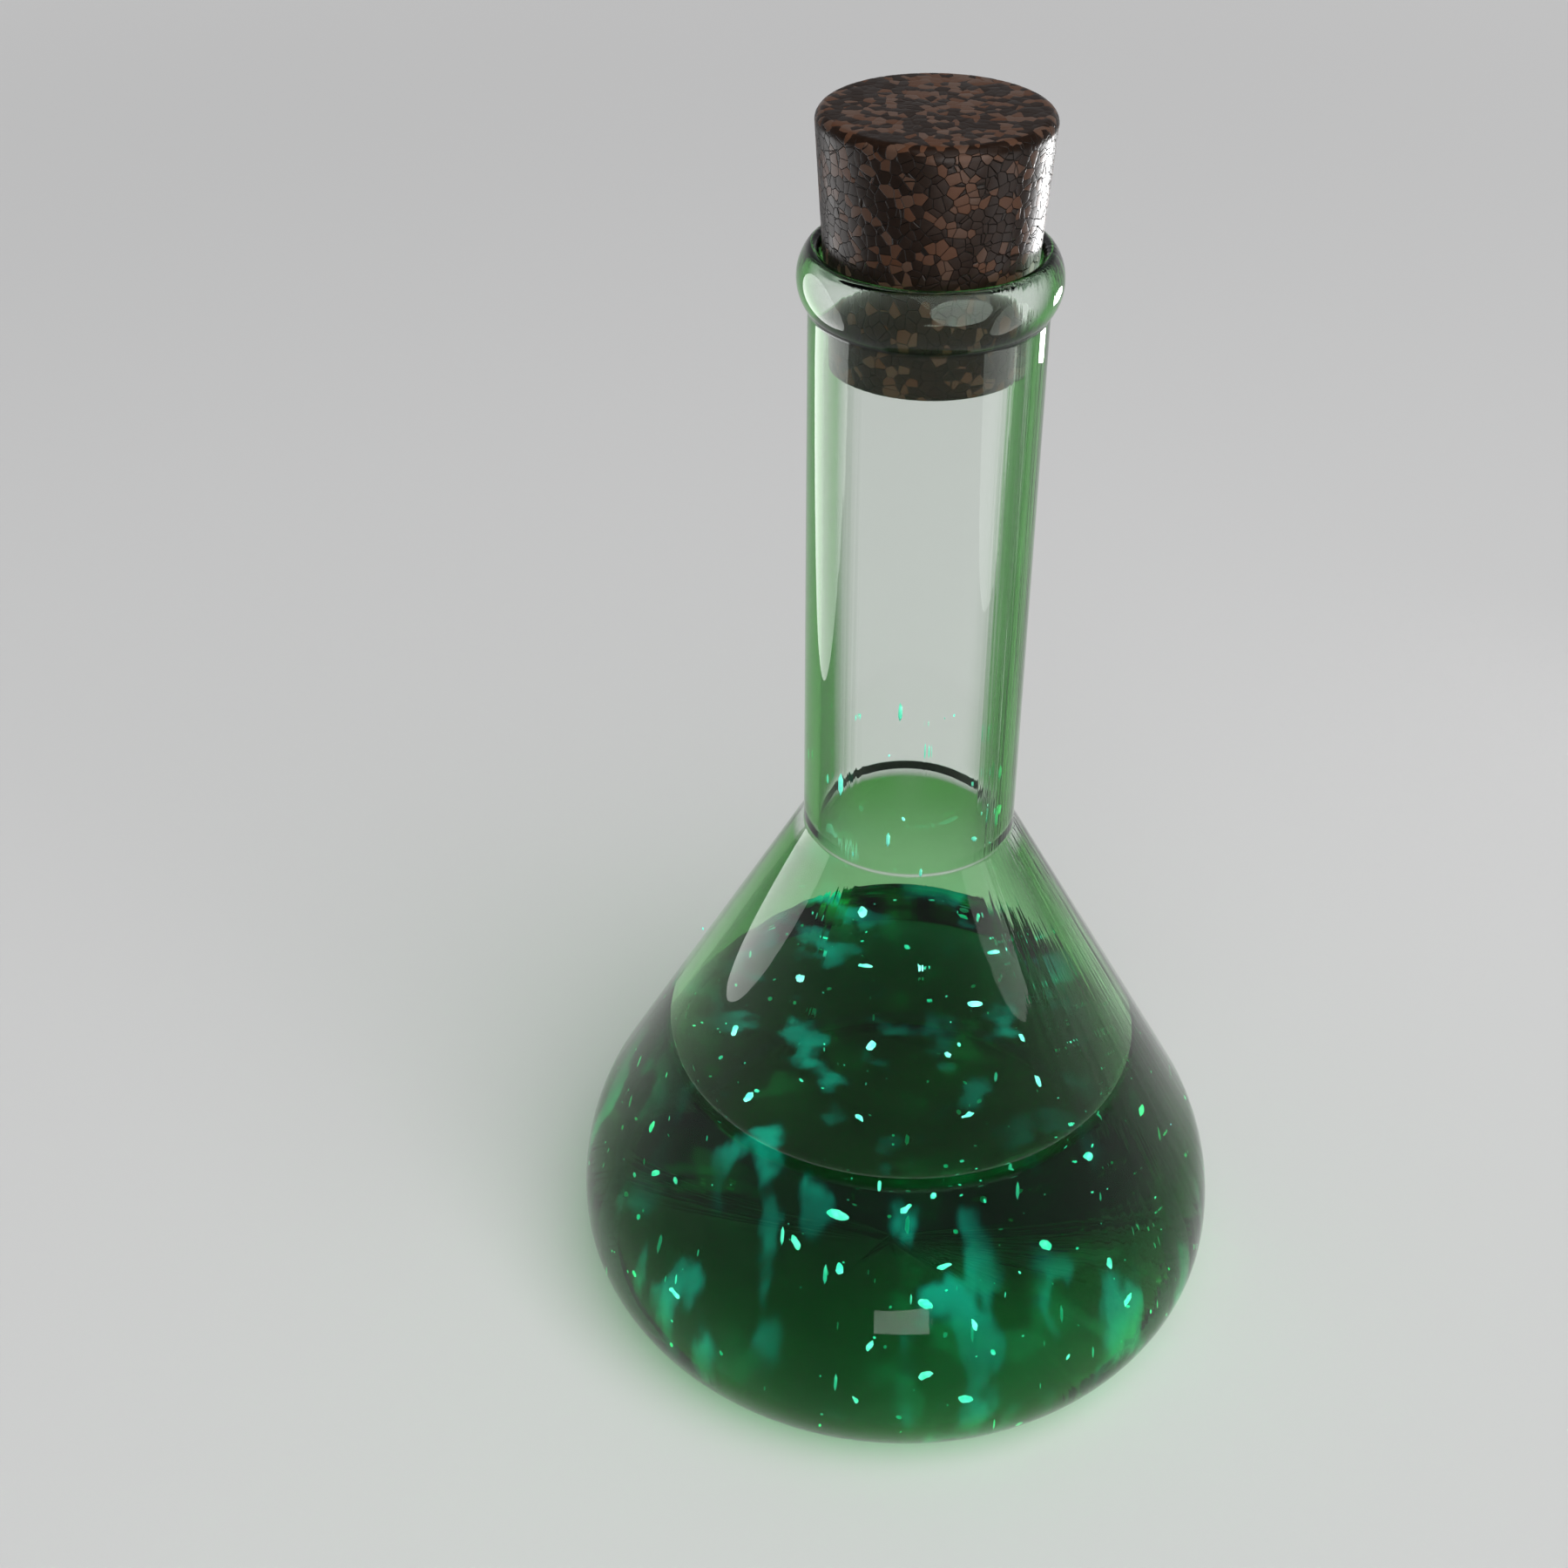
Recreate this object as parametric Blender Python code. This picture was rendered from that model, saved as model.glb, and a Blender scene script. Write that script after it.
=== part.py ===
# A blown glass flask with a rolled lip, a tapered cork pressed into its mouth,
# and a green liquid that holds small glowing flakes.
# The flask's axis is Z and it stands on z = 0. Lengths are in metres.

import math

import bmesh
import bpy
from mathutils import Matrix, Vector

# Glass body, measured on its outside
BULB_DIA = 0.1128
BULB_WIDEST_HEIGHT = 0.0172
SHOULDER_ARC_RADIUS = 0.0360
SHOULDER_RISE = 0.0813
NECK_DIA = 0.0340
NECK_LENGTH = 0.0917
NECK_FOOT_FILLET = 0.0012
GLASS_WALL = 0.0024

# Underside: the flat ring that it stands on, and the push-up inside it
FOOT_RING_WIDTH = 0.0020
PUNT_HEIGHT = 0.0050
PUNT_FILLET = 0.0060

# Rolled lip, measured from the neck's outside and its bore
LIP_PROJECTION = 0.0016
LIP_ARC_RADIUS = 0.0067
LIP_CROWN_RADIUS = 0.0011
LIP_FOOT_FILLET = 0.0012
MOUTH_FLARE = 0.0007
MOUTH_TAPER_DEPTH = 0.0091

# Cork stopper, which seats where the mouth's taper ends
STOPPER_LENGTH = 0.0354
STOPPER_FOOT_DROP = 0.0064
STOPPER_TAPER_SHARE = 0.0685
STOPPER_CLEARANCE = 0.0003
STOPPER_TOP_ROUNDING = 0.0015
STOPPER_FOOT_ROUNDING = 0.0008

# Liquid, which climbs the glass a little at its edge
LIQUID_LEVEL = 0.0534
LIQUID_GAP = 0.0003
MENISCUS_HEIGHT = 0.0011
MENISCUS_WIDTH = 0.0028

# Glowing flakes, each in its own dent of the liquid
FLAKE_LENGTH = 0.0026
FLAKE_WIDTH = 0.0018
FLAKE_THICKNESS = 0.0010
FLAKE_GAP = 0.0003

# Facets. The turned pieces share one count, so that they nest.
TURN_STEPS = 60
WIDE_ARC_STEPS = 6
SMALL_ARC_STEPS = 3
FLAKE_SIDES = 8
FLAKE_RINGS = 4
MERGE_DISTANCE = 0.00001

# Flakes afloat: share of the flat surface's radius, turn in degrees, share of the flake's size
FLOATING_FLAKE_SHARES = (
    (0.76, -29, 1.1),
    (0.71, -62, 0.9),
    (0.70, -104, 0.8),
    (0.22, -127, 1.0),
    (0.32, -42, 0.7),
    (0.61, 149, 0.8),
    (0.47, 114, 1.0),
    (0.44, 78, 0.8),
    (0.41, 25, 1.0),
    (0.60, -6, 0.8),
    (0.81, -172, 1.0),
    (0.90, -140, 1.0),
    (0.90, 105, 1.2),
    (0.76, 51, 0.8),
)

# Flakes on the glass: share of the liquid's depth, turn in degrees, share of the flake's size
CLINGING_FLAKE_SHARES = (
    (0.89, -102, 1.4),
    (0.79, -110, 1.0),
    (0.75, -100, 0.8),
    (0.93, -87, 0.8),
    (0.87, -17, 0.9),
    (0.92, -40, 0.9),
    (0.80, -156, 0.8),
    (0.72, -148, 0.9),
    (0.77, -79, 0.9),
    (0.67, -83, 1.0),
    (0.60, -74, 0.8),
    (0.55, -93, 0.8),
    (0.46, -83, 1.0),
    (0.36, -76, 1.0),
    (0.36, -95, 0.7),
    (0.62, -44, 0.8),
    (0.48, -42, 0.9),
    (0.48, -132, 0.9),
    (0.76, -57, 1.0),
    (0.66, 28, 0.9),
    (0.50, 76, 1.0),
    (0.70, 126, 0.8),
)

NECK_RADIUS = NECK_DIA / 2
BORE_RADIUS = NECK_RADIUS - GLASS_WALL
BULB_RADIUS = BULB_DIA / 2
RIGHT_ANGLE = math.pi / 2

# The heel arc runs from the widest place down to the floor
HEEL_RADIUS = BULB_WIDEST_HEIGHT
HEEL_CENTRE = Vector((BULB_RADIUS - HEEL_RADIUS, BULB_WIDEST_HEIGHT))
SHOULDER_CENTRE = Vector((BULB_RADIUS - SHOULDER_ARC_RADIUS, BULB_WIDEST_HEIGHT))

# The shoulder's cone leaves the neck's foot and touches the shoulder arc
NECK_FOOT = Vector((NECK_RADIUS, BULB_WIDEST_HEIGHT + SHOULDER_RISE))
FOOT_FROM_ARC = NECK_FOOT - SHOULDER_CENTRE
FOOT_BEARING = math.atan2(FOOT_FROM_ARC.y, FOOT_FROM_ARC.x)
CONE_TILT = FOOT_BEARING - math.acos(SHOULDER_ARC_RADIUS / FOOT_FROM_ARC.length)
NECK_FOOT_FILLET_CENTRE = NECK_FOOT + NECK_FOOT_FILLET * Vector((1, math.tan(CONE_TILT / 2)))

# The push-up is a dome that a fillet joins to the foot ring
PUNT_FILLET_CENTRE = HEEL_CENTRE - Vector((FOOT_RING_WIDTH, HEEL_RADIUS - PUNT_FILLET))
PUNT_SPAN = PUNT_FILLET_CENTRE.x
PUNT_DOME_RADIUS = (PUNT_SPAN**2 + PUNT_HEIGHT**2) / (2 * PUNT_HEIGHT) - PUNT_FILLET
PUNT_DOME_CENTRE = Vector((0, PUNT_HEIGHT - PUNT_DOME_RADIUS))
PUNT_TILT = math.asin(PUNT_SPAN / (PUNT_DOME_RADIUS + PUNT_FILLET))

# The lip's outer arc, the crown that closes its top and the fillet under it
LIP_CENTRE = Vector((NECK_RADIUS + LIP_PROJECTION - LIP_ARC_RADIUS, NECK_FOOT.y + NECK_LENGTH))
MOUTH_RADIUS = BORE_RADIUS + MOUTH_FLARE
CROWN_OUT = MOUTH_RADIUS + LIP_CROWN_RADIUS - LIP_CENTRE.x
CROWN_BEARING = math.acos(CROWN_OUT / (LIP_ARC_RADIUS - LIP_CROWN_RADIUS))
CROWN_CENTRE = LIP_CENTRE + Vector((CROWN_OUT, CROWN_OUT * math.tan(CROWN_BEARING)))
LIP_FOOT_OUT = NECK_RADIUS + LIP_FOOT_FILLET - LIP_CENTRE.x
LIP_FOOT_BEARING = math.acos(LIP_FOOT_OUT / (LIP_ARC_RADIUS + LIP_FOOT_FILLET))
LIP_FOOT_CENTRE = LIP_CENTRE + Vector((LIP_FOOT_OUT, -LIP_FOOT_OUT * math.tan(LIP_FOOT_BEARING)))

# The stopper's seat is the lower end of the mouth's taper
SEAT_HEIGHT = CROWN_CENTRE.y - MOUTH_TAPER_DEPTH
LIQUID_INSET = GLASS_WALL + LIQUID_GAP


def clear_scene():
    for thing in list(bpy.data.objects):
        bpy.data.objects.remove(thing, do_unlink=True)


def arc(centre, radius, start, end, steps):
    """Points of an arc in the half-plane of radius and height, both ends included."""
    turns = [start + (end - start) * step / steps for step in range(steps + 1)]
    return [centre + radius * Vector((math.cos(turn), math.sin(turn))) for turn in turns]


def body_line(inset):
    """From the neck's foot to the centre of the base, inset from the outside by that much glass."""
    line = arc(
        NECK_FOOT_FILLET_CENTRE, NECK_FOOT_FILLET + inset, math.pi, math.pi + CONE_TILT, SMALL_ARC_STEPS
    )
    line += arc(SHOULDER_CENTRE, SHOULDER_ARC_RADIUS - inset, CONE_TILT, 0, WIDE_ARC_STEPS)
    line += arc(HEEL_CENTRE, HEEL_RADIUS - inset, 0, -RIGHT_ANGLE, WIDE_ARC_STEPS)[1:]
    line += arc(
        PUNT_FILLET_CENTRE, PUNT_FILLET - inset, -RIGHT_ANGLE, -RIGHT_ANGLE - PUNT_TILT, SMALL_ARC_STEPS
    )
    dome = arc(
        PUNT_DOME_CENTRE, PUNT_DOME_RADIUS + inset, RIGHT_ANGLE - PUNT_TILT, RIGHT_ANGLE, SMALL_ARC_STEPS
    )
    dome[-1].x = 0
    return line + dome[1:]


def lip_line():
    """From the stopper's seat up the mouth, over the crown and down to the neck."""
    line = [Vector((BORE_RADIUS, SEAT_HEIGHT))]
    line += arc(CROWN_CENTRE, LIP_CROWN_RADIUS, math.pi, CROWN_BEARING, WIDE_ARC_STEPS)
    line += arc(LIP_CENTRE, LIP_ARC_RADIUS, CROWN_BEARING, -LIP_FOOT_BEARING, WIDE_ARC_STEPS)[1:]
    line += arc(
        LIP_FOOT_CENTRE, LIP_FOOT_FILLET, math.pi - LIP_FOOT_BEARING, math.pi, SMALL_ARC_STEPS
    )[1:]
    return line


def wall_spot(height, inset):
    """Radius and upward tilt of the body's side at a height, inset from the outside."""
    above = height - BULB_WIDEST_HEIGHT
    if above <= 0:
        tilt = math.asin(above / (HEEL_RADIUS - inset))
        return HEEL_CENTRE.x + (HEEL_RADIUS - inset) * math.cos(tilt), tilt
    if above <= (SHOULDER_ARC_RADIUS - inset) * math.sin(CONE_TILT):
        tilt = math.asin(above / (SHOULDER_ARC_RADIUS - inset))
        return SHOULDER_CENTRE.x + (SHOULDER_ARC_RADIUS - inset) * math.cos(tilt), tilt
    drop = NECK_FOOT.y - height
    return NECK_RADIUS + (drop * math.sin(CONE_TILT) - inset) / math.cos(CONE_TILT), CONE_TILT


def material(name, colour, roughness, transmission=0.0, glow=0.0):
    surface = bpy.data.materials.new(name)
    surface.use_nodes = True
    shader = surface.node_tree.nodes["Principled BSDF"]
    shader.inputs["Base Color"].default_value = (*colour, 1)
    shader.inputs["Roughness"].default_value = roughness
    shader.inputs["Metallic"].default_value = 0
    shader.inputs["Transmission Weight"].default_value = transmission
    shader.inputs["Emission Color"].default_value = (*colour, 1)
    shader.inputs["Emission Strength"].default_value = glow
    surface.diffuse_color = (*colour, 1)
    return surface


def add_object(name, mesh, surface):
    thing = bpy.data.objects.new(name, mesh)
    bpy.context.collection.objects.link(thing)
    if surface:
        mesh.materials.append(surface)
    return thing


def turned(name, line, surface):
    """A solid of revolution. Its line runs down on the outside and starts and ends on the axis."""
    mesh = bpy.data.meshes.new(name)
    edges = [(point, point + 1) for point in range(len(line) - 1)]
    mesh.from_pydata([(point.x, 0, point.y) for point in line], edges, [])
    thing = add_object(name, mesh, surface)
    screw = thing.modifiers.new("turn", "SCREW")
    screw.axis = "Z"
    screw.angle = 2 * math.pi
    screw.steps = TURN_STEPS
    screw.render_steps = TURN_STEPS
    screw.use_merge_vertices = True
    screw.merge_threshold = MERGE_DISTANCE
    screw.use_smooth_shade = True
    return thing


def make_flask():
    inside = list(reversed(body_line(GLASS_WALL)))
    glass = material("clear_green_glass", (0.72, 0.90, 0.78), 0.02, transmission=1.0)
    return turned("glass_flask", inside + lip_line() + body_line(0), glass)


def make_stopper():
    foot = SEAT_HEIGHT - STOPPER_FOOT_DROP
    top = foot + STOPPER_LENGTH
    seat_radius = BORE_RADIUS - STOPPER_CLEARANCE

    def edge(height, rounding, start, end):
        radius = seat_radius + STOPPER_TAPER_SHARE * (height - SEAT_HEIGHT)
        return arc(Vector((radius - rounding, height)), rounding, start, end, SMALL_ARC_STEPS)

    line = [Vector((0, top))]
    line += edge(top - STOPPER_TOP_ROUNDING, STOPPER_TOP_ROUNDING, RIGHT_ANGLE, 0)
    line += edge(foot + STOPPER_FOOT_ROUNDING, STOPPER_FOOT_ROUNDING, 0, -RIGHT_ANGLE)
    line.append(Vector((0, foot)))
    return turned("cork_stopper", line, material("pressed_cork", (0.16, 0.095, 0.07), 0.45))


def liquid_line():
    """The flat surface, the meniscus, and then the inside of the glass down to its centre."""
    brim = LIQUID_LEVEL + MENISCUS_HEIGHT
    brim_radius = wall_spot(brim, LIQUID_INSET)[0]
    curve_centre = Vector((brim_radius - MENISCUS_WIDTH, brim))
    line = [Vector((0, LIQUID_LEVEL))]
    for turn in arc(Vector((0, 0)), 1, -RIGHT_ANGLE, 0, WIDE_ARC_STEPS):
        line.append(curve_centre + Vector((MENISCUS_WIDTH * turn.x, MENISCUS_HEIGHT * turn.y)))
    return line + [point for point in body_line(LIQUID_INSET) if point.y < LIQUID_LEVEL]


def flake_mesh(name, length, width, thickness):
    grain = bmesh.new()
    bmesh.ops.create_uvsphere(grain, u_segments=FLAKE_SIDES, v_segments=FLAKE_RINGS, radius=1)
    bmesh.ops.scale(grain, vec=(length / 2, width / 2, thickness / 2), verts=grain.verts)
    mesh = bpy.data.meshes.new(name)
    grain.to_mesh(mesh)
    grain.free()
    return mesh


def flake_places():
    """Where each flake lies, as a matrix whose Z stands off the liquid, and its share of the size."""
    flat_radius = wall_spot(LIQUID_LEVEL + MENISCUS_HEIGHT, LIQUID_INSET)[0] - MENISCUS_WIDTH
    places = []
    for out_share, turn, size in FLOATING_FLAKE_SHARES:
        around = Matrix.Rotation(math.radians(turn), 4, "Z")
        out = Matrix.Translation((out_share * flat_radius, 0, LIQUID_LEVEL))
        places.append((around @ out, size))
    for depth_share, turn, size in CLINGING_FLAKE_SHARES:
        height = depth_share * LIQUID_LEVEL
        radius, tilt = wall_spot(height, LIQUID_INSET + size * FLAKE_THICKNESS / 2)
        around = Matrix.Rotation(math.radians(turn), 4, "Z")
        lean = Matrix.Rotation(RIGHT_ANGLE - tilt, 4, "Y")
        places.append((around @ Matrix.Translation((radius, 0, height)) @ lean, size))
    return places


def make_liquid_and_flakes():
    green = material("green_liquid", (0.01, 0.20, 0.09), 0.05, transmission=0.9)
    liquid = turned("liquid_fill", liquid_line(), green)
    glow = material("glowing_flake", (0.25, 1.0, 0.80), 0.4, glow=1.5)
    dents = bpy.data.collections.new("flake_dents")
    bpy.context.scene.collection.children.link(dents)
    turn_golden = math.pi * (3 - math.sqrt(5))
    for number, (place, size) in enumerate(flake_places(), 1):
        sizes = [size * side for side in (FLAKE_LENGTH, FLAKE_WIDTH, FLAKE_THICKNESS)]
        lie = place @ Matrix.Rotation(number * turn_golden, 4, "Z")
        name = f"glow_flake_{number:02d}"
        flake = add_object(name, flake_mesh(name, *sizes), glow)
        flake.matrix_world = lie
        roomy = [side + 2 * FLAKE_GAP for side in sizes]
        dent = bpy.data.objects.new(f"dent_{number:02d}", flake_mesh(f"dent_{number:02d}", *roomy))
        dents.objects.link(dent)
        dent.matrix_world = lie
        dent.hide_render = True
        dent.display_type = "WIRE"
    cut = liquid.modifiers.new("dents", "BOOLEAN")
    cut.operation = "DIFFERENCE"
    cut.solver = "EXACT"
    cut.operand_type = "COLLECTION"
    cut.collection = dents


def main():
    clear_scene()
    make_flask()
    make_stopper()
    make_liquid_and_flakes()


main()
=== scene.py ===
import math
import random

import bpy
from mathutils import Matrix, Vector


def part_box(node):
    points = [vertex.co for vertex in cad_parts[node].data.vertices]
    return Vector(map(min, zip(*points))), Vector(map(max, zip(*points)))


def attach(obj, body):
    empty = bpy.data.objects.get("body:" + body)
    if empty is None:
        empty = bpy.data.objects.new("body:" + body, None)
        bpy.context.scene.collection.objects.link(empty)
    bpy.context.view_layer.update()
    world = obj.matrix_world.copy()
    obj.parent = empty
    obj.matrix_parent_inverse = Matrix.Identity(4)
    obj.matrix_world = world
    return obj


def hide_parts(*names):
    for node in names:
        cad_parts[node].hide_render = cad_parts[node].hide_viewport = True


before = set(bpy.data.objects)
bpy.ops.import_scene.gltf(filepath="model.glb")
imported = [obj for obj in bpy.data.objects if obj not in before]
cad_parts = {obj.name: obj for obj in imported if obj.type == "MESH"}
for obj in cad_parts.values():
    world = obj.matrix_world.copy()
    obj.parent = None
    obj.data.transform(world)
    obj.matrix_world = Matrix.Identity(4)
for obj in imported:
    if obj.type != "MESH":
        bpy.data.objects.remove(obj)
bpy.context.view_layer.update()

rightAngle = math.pi / 2
fullTurn = 2 * math.pi
mergeGap = 0.00001
millilitres = 1e6  # in a cubic metre
print("frame loaded,", len(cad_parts), "nodes")


# Node trees, shared by the shapes and the finishes

def addNode(tree, kind, sockets=None, **settings):
    node = tree.nodes.new(kind)
    for name, value in settings.items():
        setattr(node, name, value)
    for name, value in (sockets or {}).items():
        if isinstance(value, bpy.types.NodeSocket):
            tree.links.new(value, node.inputs[name])
        else:
            node.inputs[name].default_value = value
    return node


def calc(tree, operation, *values):
    return addNode(tree, "ShaderNodeMath", dict(enumerate(values)), operation=operation).outputs[0]


def calcVector(tree, operation, *values, output=0):
    node = addNode(tree, "ShaderNodeVectorMath", dict(enumerate(values)), operation=operation)
    return node.outputs[output]


def scaled(tree, vector, factor):
    sockets = {0: vector, "Scale": factor}
    return addNode(tree, "ShaderNodeVectorMath", sockets, operation="SCALE").outputs[0]


def heightOf(tree, place):
    return addNode(tree, "ShaderNodeSeparateXYZ", {0: place}).outputs["Z"]


def remap(tree, value, low, high, newLow=0.0, newHigh=1.0, smooth=True):
    sockets = {
        "Value": value, "From Min": low, "From Max": high, "To Min": newLow, "To Max": newHigh,
    }
    kind = "SMOOTHSTEP" if smooth else "LINEAR"
    return addNode(tree, "ShaderNodeMapRange", sockets, interpolation_type=kind).outputs["Result"]


def between(tree, share, low, high):
    return remap(tree, share, 0.0, 1.0, low, high, smooth=False)


def mixColours(tree, factor, first, second, blend="MIX"):
    sockets = {0: factor, 6: first, 7: second}
    return addNode(tree, "ShaderNodeMix", sockets, data_type="RGBA", blend_type=blend).outputs[2]


def newTree(name, kind, inputs, outputs):
    # a node group with named inputs and outputs, for a shape or for a finish
    tree = bpy.data.node_groups.new(name, kind)
    for label, (socketType, value) in inputs.items():
        socket = tree.interface.new_socket(label, in_out="INPUT", socket_type=socketType)
        if value is not None:
            socket.default_value = value
    for label, socketType in outputs.items():
        tree.interface.new_socket(label, in_out="OUTPUT", socket_type=socketType)
    return tree, tree.nodes.new("NodeGroupInput").outputs, tree.nodes.new("NodeGroupOutput").inputs


def makeReal(tree, geometry, finish):
    # the end of every shape's tree
    real = addNode(tree, "GeometryNodeRealizeInstances", {"Geometry": geometry}).outputs[0]
    sockets = {"Geometry": real, "Material": finish}
    return addNode(tree, "GeometryNodeSetMaterial", sockets).outputs[0]


def growPiece(name, mesh, tree, values):
    # runs one Geometry Nodes tree on a mesh and keeps the plain result
    source = bpy.data.objects.new(name + "Source", mesh)
    bpy.context.scene.collection.objects.link(source)
    modifier = source.modifiers.new(tree.name, "NODES")
    modifier.node_group = tree
    for socket in tree.interface.items_tree:
        if socket.in_out == "INPUT" and socket.name in values:
            modifier[socket.identifier] = values[socket.name]
    depsgraph = bpy.context.evaluated_depsgraph_get()
    grown = bpy.data.meshes.new_from_object(
        source.evaluated_get(depsgraph), preserve_all_data_layers=True, depsgraph=depsgraph
    )
    bpy.data.objects.remove(source)
    grown.name = name
    piece = bpy.data.objects.new(name, grown)
    bpy.context.scene.collection.objects.link(piece)
    print("made", name, "with", len(grown.vertices), "points")
    return piece


def lineMesh(name, line):
    mesh = bpy.data.meshes.new(name)
    edges = [(point, point + 1) for point in range(len(line) - 1)]
    mesh.from_pydata([(point.x, 0, point.y) for point in line], edges, [])
    return mesh


# A line is a row of points of radius and height, and is turned round the Z axis

def arc(centre, radius, start, end, steps):
    turns = [start + (end - start) * step / steps for step in range(steps + 1)]
    return [centre + radius * Vector((math.cos(turn), math.sin(turn))) for turn in turns]


def withShortSteps(line, longest):
    filled = [line[0]]
    for before, after in zip(line, line[1:]):
        parts = max(1, math.ceil((after - before).length / longest))
        filled += [before.lerp(after, part / parts) for part in range(1, parts + 1)]
    return filled


def turnedTree():
    # makes a line a closed skin, with a slow unevenness that only goes inwards
    wavesUpwards = 9.0  # for each metre of height
    tree, given, result = newTree("turnedForm", "GeometryNodeTree", {
        "Geometry": ("NodeSocketGeometry", None),
        "Turn Steps": ("NodeSocketInt", 96),
        "Unevenness": ("NodeSocketFloat", 0.0),
        "Unevenness Waves": ("NodeSocketFloat", 3.0),
        "Merge Gap": ("NodeSocketFloat", mergeGap),
        "Finish": ("NodeSocketMaterial", None),
    }, {"Geometry": "NodeSocketGeometry"})
    linePoints = addNode(
        tree, "GeometryNodeAttributeDomainSize", {"Geometry": given["Geometry"]}
    ).outputs["Point Count"]
    grid = addNode(tree, "GeometryNodeMeshGrid", {
        "Vertices X": calc(tree, "ADD", given["Turn Steps"], 1),
        "Vertices Y": linePoints,
    }).outputs["Mesh"]
    index = addNode(tree, "GeometryNodeInputIndex").outputs[0]
    stepNumber = addNode(
        tree, "FunctionNodeIntegerMath", {0: index, 1: linePoints}, operation="DIVIDE_FLOOR"
    ).outputs[0]
    pointNumber = addNode(
        tree, "FunctionNodeIntegerMath", {0: index, 1: linePoints}, operation="MODULO"
    ).outputs[0]
    place = addNode(tree, "GeometryNodeInputPosition").outputs[0]
    linePlace = addNode(tree, "GeometryNodeSampleIndex", {
        "Geometry": given["Geometry"], "Value": place, "Index": pointNumber,
    }, data_type="FLOAT_VECTOR", domain="POINT").outputs["Value"]
    turn = calc(tree, "DIVIDE", calc(tree, "MULTIPLY", stepNumber, fullTurn), given["Turn Steps"])
    turnedPlace = addNode(
        tree, "ShaderNodeVectorRotate", {"Vector": linePlace, "Angle": turn}, rotation_type="Z_AXIS"
    ).outputs[0]
    skin = addNode(tree, "GeometryNodeSetPosition", {"Geometry": grid, "Position": turnedPlace})
    welded = addNode(tree, "GeometryNodeMergeByDistance", {
        "Geometry": skin.outputs[0], "Distance": given["Merge Gap"],
    })
    outward = calcVector(tree, "NORMALIZE", calcVector(tree, "MULTIPLY", place, (1, 1, 0)))
    wander = addNode(tree, "ShaderNodeTexNoise", {
        "Vector": calcVector(tree, "ADD", outward, scaled(tree, place, wavesUpwards)),
        "Scale": given["Unevenness Waves"],
        "Detail": 1.0,
    }).outputs["Fac"]
    inwards = calc(tree, "MULTIPLY", wander, calc(tree, "MULTIPLY", given["Unevenness"], -1))
    uneven = addNode(tree, "GeometryNodeSetPosition", {
        "Geometry": welded.outputs[0], "Offset": scaled(tree, outward, inwards),
    })
    smooth = addNode(tree, "GeometryNodeSetShadeSmooth", {"Geometry": uneven.outputs[0]})
    tree.links.new(makeReal(tree, smooth.outputs[0], given["Finish"]), result["Geometry"])
    return tree


turnedForm = turnedTree()


def facesOutward(piece):
    # the signed volume of a closed skin is positive when its faces point out
    mesh = piece.data
    mesh.calc_loop_triangles()
    sixVolumes = sum(
        mesh.vertices[a].co.dot(mesh.vertices[b].co.cross(mesh.vertices[c].co))
        for a, b, c in (triangle.vertices for triangle in mesh.loop_triangles)
    )
    print(piece.name, "fills", round(sixVolumes / 6 * millilitres, 1), "ml")
    if sixVolumes < 0:
        mesh.flip_normals()


def finishPiece(piece, body, slot, *nodes):
    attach(piece, body)
    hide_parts(*nodes)


# Finishes. The glass, the liquid, the cork and the flakes all use one soft wandering mask.

def wanderGroup():
    noiseRange = (0.3, 0.7)  # nearly all of a noise texture lies in it
    tree, given, result = newTree("softWander", "ShaderNodeTree", {
        "Vector": ("NodeSocketVector", None),
        "Grain": ("NodeSocketFloat", 100.0),
        "Softness": ("NodeSocketFloat", 0.5),
    }, {"Mask": "NodeSocketFloat"})
    noise = addNode(tree, "ShaderNodeTexNoise", {
        "Vector": given["Vector"], "Scale": given["Grain"],
        "Detail": 3.0, "Roughness": given["Softness"],
    })
    tree.links.new(remap(tree, noise.outputs["Fac"], *noiseRange), result["Mask"])
    return tree


def streakGroup():
    # long streaks drawn along the glass: fine round the axis, slow along it
    tree, given, result = newTree("drawnStreaks", "ShaderNodeTree", {
        "Vector": ("NodeSocketVector", None),
        "Streaks": ("NodeSocketFloat", 20.0),
        "Drift": ("NodeSocketFloat", 10.0),
        "Patches": ("NodeSocketFloat", 2.0),
        "Patch Start": ("NodeSocketFloat", 0.4),
        "Patch Full": ("NodeSocketFloat", 0.6),
    }, {"Height": "NodeSocketFloat"})
    around = calcVector(tree, "NORMALIZE", calcVector(tree, "MULTIPLY", given["Vector"], (1, 1, 0)))
    fine = scaled(tree, around, given["Streaks"])
    slow = scaled(tree, calcVector(tree, "MULTIPLY", given["Vector"], (0, 0, 1)), given["Drift"])
    noise = addNode(tree, "ShaderNodeTexNoise", {
        "Vector": calcVector(tree, "ADD", fine, slow), "Scale": 1.0, "Detail": 2.0,
    })
    patch = addNode(tree, "ShaderNodeTexNoise", {
        "Vector": around, "Scale": given["Patches"], "Detail": 0.0,
    })
    patchShare = remap(tree, patch.outputs["Fac"], given["Patch Start"], given["Patch Full"])
    tree.links.new(calc(tree, "MULTIPLY", noise.outputs["Fac"], patchShare), result["Height"])
    return tree


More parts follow.
